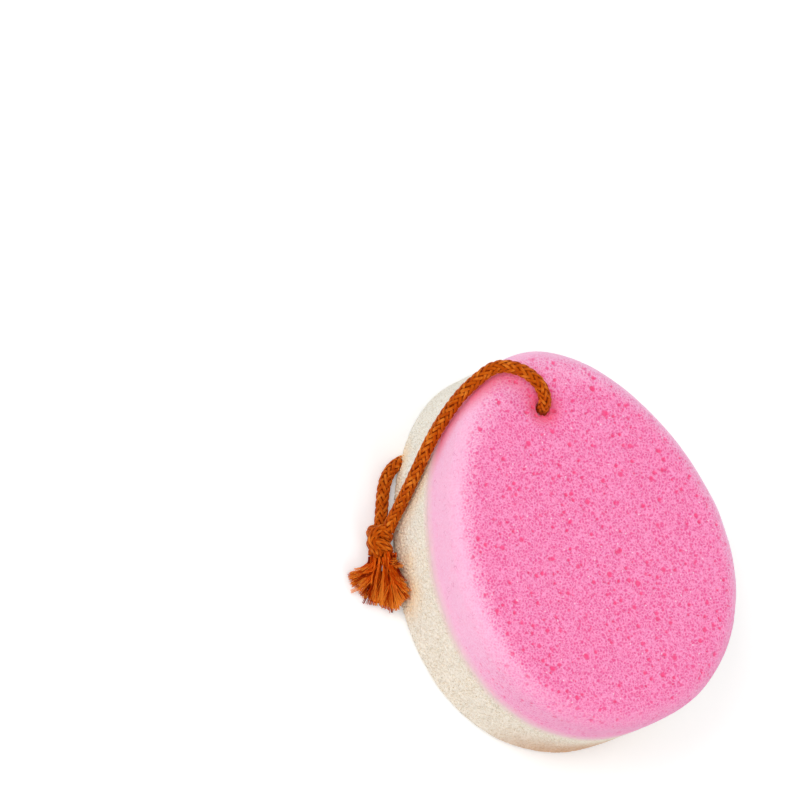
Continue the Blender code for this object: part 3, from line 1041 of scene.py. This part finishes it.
def make_pink():
    bottom = BOND_HEIGHT - BOND_OVERLAP
    mesh = evenly_meshed(egg_slab("pink foam", bottom, TOP, TOP, RIM_RADIUS), PINK_VOXEL)
    points, normals = points_and_normals(mesh)
    square_corner(points, normals, bottom)
    inside = from_outline(points)
    # Painted shade: the wide end's wall is a deeper pink, and its pale band round the face is
    # narrower.
    wide_end_shade = eased(points[:, 0], 0.015, 0.062)
    cut = np.clip((normals[:, 2] - 0.5) / 0.5, 0, 1) ** 2.2
    # The wall at the wide end also gets some of the face's pits and cell texture, partly to paint it
    # darker, as painted shade.
    cut = np.maximum(cut, 0.42 * eased(points[:, 0], 0.005, 0.050))
    # Painted light: the pale band round the face is wider at the narrow end, where more light falls.
    narrow = eased(-points[:, 0], 0.036, 0.052)
    face = cut * eased(inside, 0.0, 0.009 + 0.009 * narrow - 0.004 * wide_end_shade)
    swell(points, normals)
    from_hole = np.hypot(points[:, 0] - HOLE_X, points[:, 1])
    dip = MOUTH_DIP * np.exp(-((from_hole / MOUTH_DIP_REACH) ** 2))
    points[:, 2] -= dip * (normals[:, 2] > 0.3)
    pores = main_pores(points, normals)
    points[:, 2] -= MAIN_PORE_DEPTH * pores
    press(points, CORD_RADIUS + PRESS_GAP, PINK_SHOULDER)
    write_points(mesh, points)
    keep(mesh, "rest", points)
    keep(mesh, "face", face)
    keep(mesh, "cut", cut)
    keep(mesh, "main pore", pores)
    keep(mesh, "wide end shade", wide_end_shade)
    # Painted reflected light: how near each point is to the cord, for a glow of the cord's colour.
    keep(mesh, "cord glow", cord_glow_share(points, PINK_GLOW_REACH))
    keep(mesh, "pitted", (0.22 + 0.78 * cut) * (points[:, 2] > BOND_HEIGHT + 0.001))
    return with_pits(mesh, pit_nodes("pink pores", pink_depth))


pink_mesh = make_pink()
print("pink foam:", len(pink_mesh.polygons), "faces")

# %% [markdown]
# Both foams use three effects in the same way, so each effect is a node group with its own sockets:
# the cells, the warm painted glow of the cord's reflected light beside the cord, and the ragged line
# where one foam's colour runs into the other's.

# %% Node group: foam cells
def make_cells_group():
    """0 on the struts between the cells, and 1 inside them."""
    sockets = [("Place", "Vector", None)]
    for title in ("Rate", "Grain", "Strut", "Open"):
        sockets.append((title, "Float", None))
    group, given, made = new_group("foam cells", sockets, [("Hollow", "Float")])
    place, rate = given["Place"], given["Rate"]
    grain = noise_at(group, place, times(group, rate, 1.53), Detail=2.0)
    grain = times(group, maths(group, "SUBTRACT", grain, 0.5), given["Grain"])
    depth = maths(group, "ADD", from_walls(group, place, rate), grain)
    set_inputs(made, {"Hollow": ramp(group, depth, given["Strut"], given["Open"])})
    return group


# %% Node group: painted glow beside the cord
def make_cord_glow_group():
    sockets = [("Color", "Color", None), ("Tint", "Color", None), ("Share", "Float", None)]
    group, given, made = new_group("painted glow beside the cord", sockets, [("Color", "Color")])
    near = maths(group, "POWER", read_value(group, "cord glow"), 1.6)
    near = times(group, near, given["Share"])
    set_inputs(made, {"Color": mix_colour(group, near, given["Color"], given["Tint"])})
    return group


# %% Node group: ragged line at the bond
def make_bond_group():
    sockets = [("Color", "Color", None), ("Blend", "Color", None)]
    sockets += [("Place", "Vector", None), ("Far", "Float", None)]
    group, given, made = new_group("ragged bond line", sockets, [("Color", "Color")])
    place = given["Place"]
    height = split(group, place)[2]
    ragged = times(group, noise_at(group, place, 1100.0, Detail=2.0), 0.0016)
    away = maths(group, "ABSOLUTE", maths(group, "SUBTRACT", height, BOND_HEIGHT), 0.0)
    away = maths(group, "ADD", away, ragged)
    share = times(group, ramp(group, away, given["Far"], 0.0004), 0.95)
    set_inputs(made, {"Color": mix_colour(group, share, given["Color"], given["Blend"])})
    return group


cells_group = make_cells_group()
cord_glow_group = make_cord_glow_group()
bond_group = make_bond_group()

# %% [markdown]
# The pink foam's colour is built in layers: a wall painted pale as light and a stronger face, the
# hollows of its fine cells and its small and large pores painted darker as shade, a few short lines
# on the wall, and painted glints where bright cell walls catch the light.

# %% Pink foam, small marks
def wall_lines(tree, rest, cut):
    """Short thin lines on the uncut skin of the wall."""
    lines = ramp(tree, from_walls(tree, rest, 480.0), 0.07, 0.02)
    lines = times(tree, lines, ramp(tree, noise_at(tree, rest, 330.0), 0.58, 0.64))
    return times(tree, lines, ramp(tree, cut, 0.3, 0.0, 0.0, 0.55))


def glints(tree, rest, cut):
    """Painted glints: tiny bright cell walls, in one cell of thirty."""
    cells = add_node(tree, "ShaderNodeTexVoronoi", {"Vector": rest, "Scale": 900.0}).outputs
    rare = ramp(tree, split(tree, cells["Color"])[0], 0.965, 0.97)
    lit = times(tree, rare, ramp(tree, cells["Distance"], 0.32, 0.16))
    return times(tree, lit, ramp(tree, cut, 0.0, 0.6, 0.2, 0.8))


# %% Pink foam, material
BOND_COLOUR = linear(243, 204, 208)


def pink_material():
    material, tree, shader = new_material("fine pink foam", 0.85)
    rest = read_vector(tree, "rest")
    face, cut, wide_end_shade = (read_value(tree, name) for name in ("face", "cut", "wide end shade"))
    # Painted shade: the hollows of the fine cells are painted darker, where their bump dips.
    hollow = use(tree, cells_group, Place=rest, Rate=980.0, Grain=1.0, Strut=-0.05, Open=0.35)
    cells_relief_and_shade = times(tree, hollow, ramp(tree, cut, 0.0, 0.45, 0.3, 0.95))
    # Painted light and shade: the wall is painted pale as light, and a deeper pink towards the wide
    # end as shade.
    wall = mix_colour(tree, wide_end_shade, linear(254, 191, 221), linear(254, 166, 203))
    base = mix_colour(tree, face, wall, linear(253, 157, 202))
    hollow_shade = mix_colour(tree, face, linear(243, 124, 180), linear(236, 88, 150))
    colour = mix_colour(tree, cells_relief_and_shade, base, hollow_shade)
    # Painted shade: small pores and the main pores are painted a deeper pink inside.
    small = pore_pattern(tree, rest, 440.0, 0.36)
    small = times(tree, small, ramp(tree, cut, 0.0, 0.65, 0.0, 0.85))
    colour = mix_colour(tree, small, colour, linear(238, 82, 143))
    main = ramp(tree, read_value(tree, "main pore"), 0.0, 0.45)
    pores = maths(tree, "MAXIMUM", pore_pattern(tree, rest), main)
    deep = times(tree, pores, ramp(tree, cut, 0.0, 0.65, 0.08, 0.85))
    colour = mix_colour(tree, deep, colour, linear(246, 78, 138))
    colour = mix_colour(tree, wall_lines(tree, rest, cut), colour, linear(226, 124, 172))
    colour = mix_colour(tree, glints(tree, rest, cut), colour, linear(255, 220, 236))
    # Painted reflected light: a saturated red glow beside the cord.
    colour = use(tree, cord_glow_group, Color=colour, Tint=linear(255, 84, 118), Share=0.95)
    colour = use(tree, bond_group, Color=colour, Blend=BOND_COLOUR, Place=rest, Far=0.0050)
    add_bump(tree, shader, maths(tree, "MAXIMUM", cells_relief_and_shade, small), 0.55, 0.0003, invert=True)
    values = {
        "Base Color": colour,
        "Specular IOR Level": 0.2,
        "Subsurface Weight": 0.3,
        "Subsurface Radius": (1.0, 0.5, 0.6),
        "Subsurface Scale": 0.0012,
        "Sheen Weight": 0.4,
        "Sheen Roughness": 0.5,
        "Sheen Tint": linear(246, 222, 240),
    }
    set_inputs(shader, values)
    return material


pink = add_piece("pink_foam", pink_mesh, pink_material(), "soft_layer")

# %% [markdown]
# ## Cream foam
#
# The coarse foam is a net of thin struts round open cells about a millimetre across. A true net
# would need millions of faces. Pits between raised struts look the same from where one sees it,
# as long as the outline is broken too.

# %% Cream foam, shape
CREAM_VOXEL = 0.00042
CREAM_SHOULDER = 0.0012
CREAM_GLOW_REACH = 0.007


def make_cream():
    top = BOND_HEIGHT + BOND_OVERLAP
    mesh = evenly_meshed(egg_slab("cream foam", 0.0, top, 0.0, FOOT_RADIUS), CREAM_VOXEL)
    points, normals = points_and_normals(mesh)
    square_corner(points, normals, top)
    swell(points, normals * (normals[:, 2:] > -0.5))
    press(points, CORD_RADIUS + PRESS_GAP, CREAM_SHOULDER)
    write_points(mesh, points)
    keep(mesh, "rest", points)
    # Painted reflected light: how near each point is to the cord, for a warm glow of the cord's
    # colour.
    keep(mesh, "cord glow", cord_glow_share(points, CREAM_GLOW_REACH))
    # Painted shade and reflection: a warm shade near the floor at the wide end.
    low = 1 - eased(points[:, 2], 0.004, 0.027)
    keep(mesh, "foot_shade", low * eased(points[:, 0], 0.044, 0.064))
    # Painted light: a share for paler struts towards the narrow end.
    keep(mesh, "lit narrow end", eased(-points[:, 0], 0.010, 0.045))
    pitted = np.where(normals[:, 2] < -0.8, 0.6, 1 - eased(points[:, 2], 0.0262, 0.0280))
    keep(mesh, "pitted", pitted)
    return with_pits(mesh, pit_nodes("cream cells", cream_depth))


cream_mesh = make_cream()
print("cream foam:", len(cream_mesh.polygons), "faces")

# %% Cream foam, material
def cream_material():
    material, tree, shader = new_material("coarse cream foam", 0.9)
    rest = read_vector(tree, "rest")
    values = {"Place": rest, "Rate": CREAM_CELL_RATE, "Grain": 0.25, "Strut": 0.04, "Open": 0.24}
    cells = use(tree, cells_group, **values)
    tone = noise_at(tree, rest, 1400.0, Detail=2.0)
    warm = ramp(tree, tone, 0.35, 0.65)
    strut = mix_colour(tree, warm, linear(251, 243, 230), linear(248, 236, 219))
    # Painted light: the struts are paler towards the narrow end.
    lit_pale = times(tree, read_value(tree, "lit narrow end"), 0.65)
    strut = mix_colour(tree, lit_pale, strut, linear(244, 244, 235))
    # Painted shade: the open cells are darker than the struts.
    open_cell_shade = times(tree, cells, ramp(tree, tone, 0.35, 0.65, 0.26, 0.40))
    colour = mix_colour(tree, open_cell_shade, strut, linear(210, 186, 152))
    specks = noise_at(tree, rest, 2300.0)
    dark, light = ramp(tree, specks, 0.6, 0.68, 0.0, 0.55), ramp(tree, specks, 0.36, 0.28, 0.0, 0.9)
    colour = mix_colour(tree, dark, colour, linear(188, 160, 116))
    # The pale specks are partly pale grain and partly painted glints on the struts.
    colour = mix_colour(tree, light, colour, linear(254, 248, 238))
    # Painted reflected light: a warm glow beside the cord.
    colour = use(tree, cord_glow_group, Color=colour, Tint=linear(252, 212, 160), Share=0.62)
    colour = use(tree, bond_group, Color=colour, Blend=BOND_COLOUR, Place=rest, Far=0.0046)
    # Painted shade and reflection: warmer and darker near the floor at the wide end.
    foot_shade = times(tree, read_value(tree, "foot_shade"), ramp(tree, specks, 0.3, 0.7, 0.6, 0.9))
    colour = mix_colour(tree, foot_shade, colour, linear(208, 154, 110))
    set_inputs(shader, {"Base Color": colour, "Specular IOR Level": 0.2})
    add_bump(tree, shader, cells, 0.4, 0.0003, invert=True)
    return material


cream = add_piece("cream_foam", cream_mesh, cream_material(), "scrub_layer")

# %% [markdown]
# ## Glue film
#
# The glue between the foams has dried to a thin clear film, which both foams hide. It stays the
# solid that it is in the frame, and gets a material with the brush's streaks in it.

# %% Glue film
def glue_material():
    material, tree, shader = new_material("dried glue", 0.35)
    place = add_node(tree, "ShaderNodeTexCoord").outputs["Object"]
    streaks = noise_at(tree, place, 90.0, Detail=4.0)
    colour = mix_colour(tree, streaks, linear(214, 196, 170), linear(240, 226, 206))
    set_inputs(shader, {"Base Color": colour})
    add_bump(tree, shader, streaks, 0.3, 0.0002)
    return material


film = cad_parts["bond_film"]
film.material_slots[0].material = glue_material()

# %% [markdown]
# ## Done
#
# The box round the solids and the box round what shows are printed, so that the two can be set
# against each other.

# %% Sizes and finish
shown_box = [list(corner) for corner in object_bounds()]
for title, (low, high) in (("solids", cad_box), ("shown", shown_box)):
    print(title, [round((b - a) * 1000, 1) for a, b in zip(low, high)], "mm")
